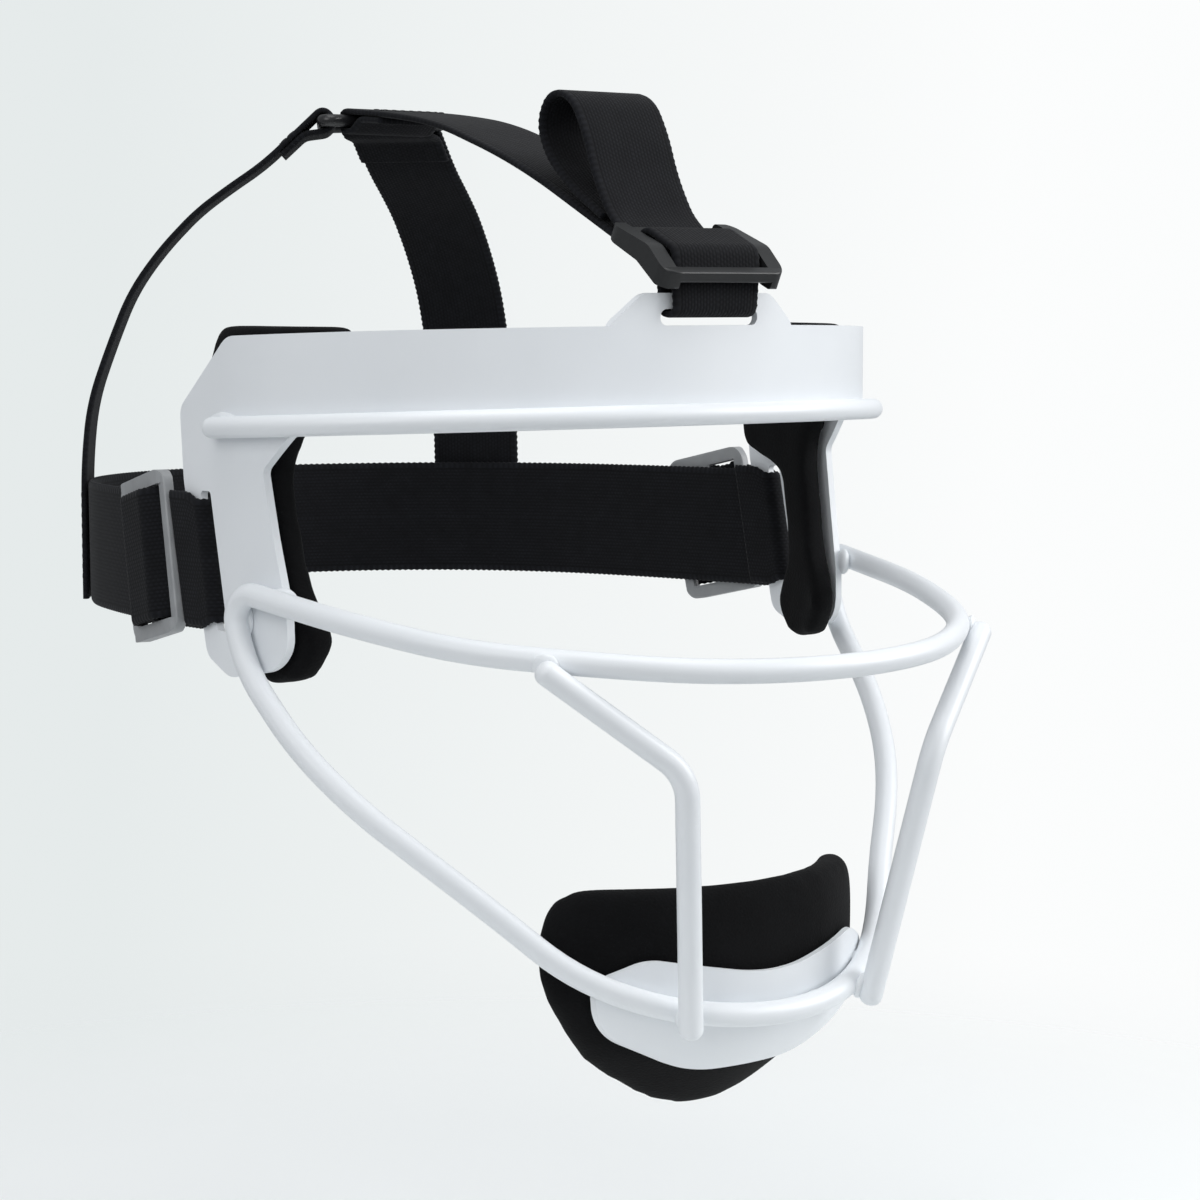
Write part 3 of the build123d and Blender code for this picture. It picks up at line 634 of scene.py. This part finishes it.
# %% Model a pad and tie it
def pad(name, node, held_side, inset, cap, rounding):
    """Model a pad over a CAD solid. held_side(normal) says which points stay on the hook tape."""
    piece = even_copy(name, node, inset, rounding)
    held = [vertex.index for vertex in piece.data.vertices if held_side(vertex.normal)]
    blow_up(piece, held, cap)
    bpy.ops.object.modifier_add(type="SUBSURF")
    smooth = piece.modifiers[-1]
    smooth.levels = smooth.render_levels = 1
    bpy.ops.object.modifier_apply(modifier=smooth.name)
    bpy.ops.object.shade_smooth()
    piece.data.materials.append(knit)
    print(name, "points", len(piece.data.vertices), "held", len(held))
    return piece


def finish_pad(piece, node):
    """Tie a pad to the body of its node and hide that node."""
    finish_piece(piece, node + "_unit", "pad_foam", node)


# %% [markdown]
# The inset lowers the top of a temple pad, so its upper end is raised again, to a little above the CAD
# solid. It shows there over the band's rear corner.

# %% Make the four pads
FACING, UNDERNEATH = 0.3, 0.5
CHIN_INSET, CHIN_CAP, CHIN_ROUNDING = 0.0001, 0.0009, 14
BROW_INSET, BROW_CAP, BROW_ROUNDING = 0.0005, 0.0008, 2
TEMPLE_INSET, TEMPLE_CAP, TEMPLE_ROUNDING = 0.0006, 0.001, 2
TOP_RISE = 1.4 * MM
RISE_REACH = 0.01


def faces_front(normal):
    """Say whether a point faces the steel in front of it."""
    return normal.y < -FACING


def faces_front_or_down(normal):
    """Say whether a point faces the dished plate in front of it or below it."""
    return faces_front(normal) or normal.z < -UNDERNEATH


def faces_left(normal):
    """Say whether a point faces the left side plate."""
    return normal.x > FACING


chin = pad("chin_cup", "chin_pad", faces_front_or_down, CHIN_INSET, CHIN_CAP, CHIN_ROUNDING)
finish_pad(chin, "chin_pad")
brow = pad("forehead_pad", "brow_pad", faces_front, BROW_INSET, BROW_CAP, BROW_ROUNDING)
finish_pad(brow, "brow_pad")
left_temple = pad(
    "left_temple_liner", "left_temple_pad", faces_left, TEMPLE_INSET, TEMPLE_CAP, TEMPLE_ROUNDING,
)
for vertex in left_temple.data.vertices:
    vertex.co.z += TOP_RISE * min(max(vertex.co.z / RISE_REACH, 0), 1)
right_temple = turned_copy(left_temple, "right_temple_liner")
finish_pad(left_temple, "left_temple_pad")
finish_pad(right_temple, "right_temple_pad")

# %% [markdown]
# ## Stitches
# Where a strap folds back round the ring, its end is sewn to it, and each strand is sewn to the rear
# strap with a box and a cross. One row is one grain of thread, repeated by an Array modifier and turned
# to lie between two points of the strap's own drawing.

# %% Sew a row and a box
STITCH = 2.7 * MM
THREAD = (1.05 * MM, 0.24 * MM, 0.22 * MM)
thread, tree, shader = start_finish("black thread", roughness=0.6, Base_Color=(0.012, 0.012, 0.014, 1))


def stitch_row(start, end, place):
    """Return a row of stitches between two points that are given along, up and across a strap's drawing."""
    start, end = (place @ (Vector(point) * MM) for point in (start, end))
    run = end - start
    bpy.ops.mesh.primitive_uv_sphere_add(segments=8, ring_count=6, radius=1)
    row = bpy.context.object
    row.data.transform(Matrix.Diagonal((*THREAD, 1)))
    bpy.ops.object.modifier_add(type="ARRAY")
    repeat = row.modifiers[-1]
    repeat.count = max(2, round(run.length / STITCH))
    repeat.use_relative_offset, repeat.use_constant_offset = False, True
    repeat.constant_offset_displace = (run.length / repeat.count, 0, 0)
    bpy.ops.object.modifier_apply(modifier=repeat.name)
    row.data.transform(Matrix.Translation((run.length / repeat.count / 2, 0, 0)))
    row.data.transform(Matrix.Translation(start) @ run.to_track_quat("X", "Z").to_matrix().to_4x4())
    return row


def join_pieces(name, pieces, finish):
    """Return several pieces joined as one."""
    bpy.ops.object.select_all(action="DESELECT")
    for piece in pieces:
        piece.select_set(True)
    bpy.context.view_layer.objects.active = pieces[0]
    bpy.ops.object.join()
    pieces[0].name = name
    pieces[0].data.materials.append(finish)
    return pieces[0]


def sewn_box(name, top, bottom, half, place, crossed=True):
    """Return a box of stitches between two lines across a strap, with a cross in it if asked."""
    corners = [(*top, -half), (*top, half), (*bottom, half), (*bottom, -half)]
    lines = list(zip(corners, corners[1:] + corners[:1]))
    if crossed:
        lines += [(corners[0], corners[2]), (corners[1], corners[3])]
    box = join_pieces(name, [stitch_row(start, end, place) for start, end in lines], thread)
    bpy.ops.object.shade_smooth()
    return box


print("stitch:", round(STITCH / MM, 1), "mm")

# %% Sew the straps
SEAM_HALF = 9
HEAD_SEAM = ((105.0, 64.86), (110.5, 65.34))
RING_SEAM = ((7.37, -2.52), (10.65, -5.59))
NAPE_SEAM = ((61.12, -92), (61.12, -115))

head_seam = sewn_box("head_strap_seam", *HEAD_SEAM, SEAM_HALF, side_view, crossed=False)
finish_piece(head_seam, "guard", "webbing")
for name, ends, crossed in (("ring_seam", RING_SEAM, False), ("nape_seam", NAPE_SEAM, True)):
    left_seam = sewn_box("left_" + name, *ends, SEAM_HALF, strand_view, crossed)
    right_seam = turned_copy(left_seam, "right_" + name)
    finish_piece(left_seam, "guard", "webbing")
    finish_piece(right_seam, "guard", "webbing")
print("seams sewn")

# %% [markdown]
# ## Welds
# Every bar is tacked to what it touches, and the thick coat rounds each tack into a small mound. A
# mound is a flat ball between the two pieces, roughened a little with a Displace modifier. The list
# gives its middle, the way it faces and its radii, in millimetres, on the wearer's left. The right side
# is its mirror image.

# %% List the welds
WELDS = {
    "upright on the jaw bar": ((25.1, -32.4, -134.5), (0.45, -0.84, -0.32), (3.0, 3.0, 1.4)),
    "upright on the bar below the eyes": ((61.0, -29.3, -56.2), (0.71, -0.66, -0.24), (2.6, 2.8, 1.2)),
    "ear bend on the side plate": ((85.0, 48.7, -51.8), (1, 0, 0), (3.8, 2.8, 1.4)),
    "bar below the eyes on the side plate": ((82.4, 36.8, -46.95), (0.83, -0.55, -0.06), (3.2, 3.4, 1.5)),
    "end of the rim wire": ((85.0, 56.4, -8.5), (1, 0, 0), (2.3, 6.0, 1.3)),
    "end of the chin plate": ((32.8, -21.6, -131.2), (0.55, -0.83, 0), (2.0, 3.4, 1.2)),
    "front of the chin plate": ((11.0, -31.9, -135.7), (0.2, -0.98, -0.05), (2.0, 6.0, 1.3)),
}
LUMP_SIZE, LUMP_HEIGHT = 0.0025, 0.0004


def weld_mound(spot, normal, radii, side):
    """Return one flat ball between two pieces, on the left for side 1 and on the right for side -1."""
    bpy.ops.mesh.primitive_uv_sphere_add(segments=32, ring_count=20, radius=1)
    mound = bpy.context.object
    mound.data.transform(Matrix.Diagonal((*(radius * MM for radius in radii), 1)))
    mirror = Matrix.Diagonal((side, 1, 1))
    turn = (mirror @ Vector(normal)).to_track_quat("Z", "X").to_matrix().to_4x4()
    mound.data.transform(Matrix.Translation(mirror @ Vector(spot) * MM) @ turn)
    return mound


print("kinds of weld:", len(WELDS))

# %% Add the weld mounds
mounds = [weld_mound(*weld, side) for weld in WELDS.values() for side in (1, -1)]
welds = join_pieces("weld_mounds", mounds, coat)
lumps = bpy.data.textures.new("weld_lumps", "CLOUDS")
lumps.noise_scale = LUMP_SIZE
bpy.ops.object.modifier_add(type="DISPLACE")
rough = welds.modifiers[-1]
rough.texture, rough.texture_coords, rough.strength, rough.mid_level = lumps, "LOCAL", LUMP_HEIGHT, 0.5
bpy.ops.object.modifier_apply(modifier=rough.name)
bpy.ops.object.shade_smooth()
finish_piece(welds, "guard", "painted_steel")
print("welds:", len(mounds))

# %% [markdown]
# ## Floor, backdrop and light
# The guard is shown against a pale backdrop that grows whiter to the right, as painted light from that
# side. The world shader paints that for the camera, while the light on the object and in its reflections
# keeps one tone, which is brighter from above than from below. A soft floor far below catches a faint
# shadow and fades out before it ends, so no edge shows.

# %% Build the world
VIEW_AZIMUTH = math.radians(-38.0)
BACKDROP_LEFT = (0.79, 0.83, 0.83, 1)
LIT_BACKDROP_RIGHT = (0.97, 0.98, 0.98, 1)
LEFT_END, RIGHT_END = -0.16, 0.13
SKY = (0.94, 0.97, 1.0, 1)
FROM_BELOW, FROM_ABOVE = 0.24, 0.52

world = bpy.data.worlds.new("pale studio")
scene.world = world
world.use_nodes = True
tree = world.node_tree
tree.nodes.clear()
direction = add_node(tree, "ShaderNodeTexCoord").outputs["Generated"]
right_way = (math.cos(VIEW_AZIMUTH), math.sin(VIEW_AZIMUTH), 0)
rightness = add_node(tree, "ShaderNodeVectorMath", {0: direction, 1: right_way}, operation="DOT_PRODUCT")
span = {"Value": rightness.outputs["Value"], "From Min": LEFT_END, "From Max": RIGHT_END}
share = add_node(tree, "ShaderNodeMapRange", span).outputs[0]
# The whitening to the right is painted light on the backdrop, seen by the camera alone.
tones = {"Factor": share, "A": BACKDROP_LEFT, "B": LIT_BACKDROP_RIGHT}
backdrop = add_node(tree, "ShaderNodeMix", tones, data_type="RGBA")
seen = add_node(tree, "ShaderNodeBackground", {"Color": backdrop.outputs["Result"], "Strength": 1.0})
height = add_node(tree, "ShaderNodeSeparateXYZ", {0: direction}).outputs[2]
climb = {"Value": height, "From Min": -1.0, "To Min": FROM_BELOW, "To Max": FROM_ABOVE}
glow = add_node(tree, "ShaderNodeMapRange", climb).outputs[0]
even = add_node(tree, "ShaderNodeBackground", {"Color": SKY, "Strength": glow})
rays = add_node(tree, "ShaderNodeLightPath")
direct = math_node(tree, "MAXIMUM", rays.outputs["Is Camera Ray"], rays.outputs["Is Transmission Ray"])
chosen = add_node(tree, "ShaderNodeMixShader", {0: direct, 1: even.outputs[0], 2: seen.outputs[0]})
add_node(tree, "ShaderNodeOutputWorld", {"Surface": chosen.outputs[0]})
print("world nodes:", len(tree.nodes))

# %% Lay the floor
FLOOR_SPOT = (0, 0.06, -0.24)
FLOOR_RADIUS = 0.9
FADE_START, FADE_END = 0.15, 0.5

bpy.ops.object.select_all(action="DESELECT")
bpy.ops.mesh.primitive_circle_add(vertices=96, radius=FLOOR_RADIUS, fill_type="NGON", location=FLOOR_SPOT)
floor = bpy.context.object
floor.name = "floor"
pale, tree, shader = start_finish("pale floor", roughness=0.9, Base_Color=(0.88, 0.9, 0.9, 1))
reach = add_node(tree, "ShaderNodeVectorMath", {0: object_place(tree)}, operation="LENGTH").outputs["Value"]
span = {"Value": reach, "From Min": FADE_START, "From Max": FADE_END, "To Min": 1.0, "To Max": 0.0}
fade = add_node(tree, "ShaderNodeMapRange", span, interpolation_type="SMOOTHSTEP")
tree.links.new(fade.outputs[0], shader.inputs["Alpha"])
floor.data.materials.append(pale)
print("floor height:", FLOOR_SPOT[2])

# %% [markdown]
# Three large area lights do the work of soft boxes: one on each side of the camera and one above. The
# right one is the strongest, so the guard grows brighter that way as it does in the photograph. Large
# lamps give soft shadows.

# %% Place the lights
LIT_SPOT = (0, 0.05, -0.04)
SOFT_BOXES = {
    "right box": ((0.85, -0.6, 0.4), 0.7, 9.0),
    "left box": ((-0.95, -0.35, 0.5), 0.7, 3.8),
    "top box": ((-0.1, -0.2, 1.2), 0.9, 6.0),
}
for name, (spot, size, power) in SOFT_BOXES.items():
    lamp = bpy.data.lights.new(name, "AREA")
    lamp.size, lamp.energy = size, power
    box = bpy.data.objects.new(name, lamp)
    scene.collection.objects.link(box)
    box.location = spot
    box.rotation_euler = (Vector(LIT_SPOT) - Vector(spot)).to_track_quat("-Z", "Y").to_euler()
    print(name, power, "W")

# %% [markdown]
# ## Camera
# The camera stands where the photograph was taken from: 38 degrees towards the wearer's right and about
# 6 degrees up.

# %% Set the camera
VIEW_ELEVATION = math.radians(5.698)
CAMERA_SPOT = (-0.4316, -0.5219, 0.0189)
SENSOR, LENS, NEAREST = 36, 90.82, 0.01

lens = bpy.data.cameras.new("camera")
lens.sensor_width, lens.lens, lens.clip_start = SENSOR, LENS, NEAREST
camera = bpy.data.objects.new("camera", lens)
scene.collection.objects.link(camera)
level = math.cos(VIEW_ELEVATION)
back = Vector((math.sin(VIEW_AZIMUTH) * level, -math.cos(VIEW_AZIMUTH) * level, math.sin(VIEW_ELEVATION)))
across = Vector((math.cos(VIEW_AZIMUTH), math.sin(VIEW_AZIMUTH), 0))
turned = Matrix((across, back.cross(across), back)).transposed().to_4x4()
camera.matrix_world = Matrix.Translation(CAMERA_SPOT) @ turned
scene.camera = camera
scene.view_settings.view_transform = "Standard"
print("camera at", CAMERA_SPOT)
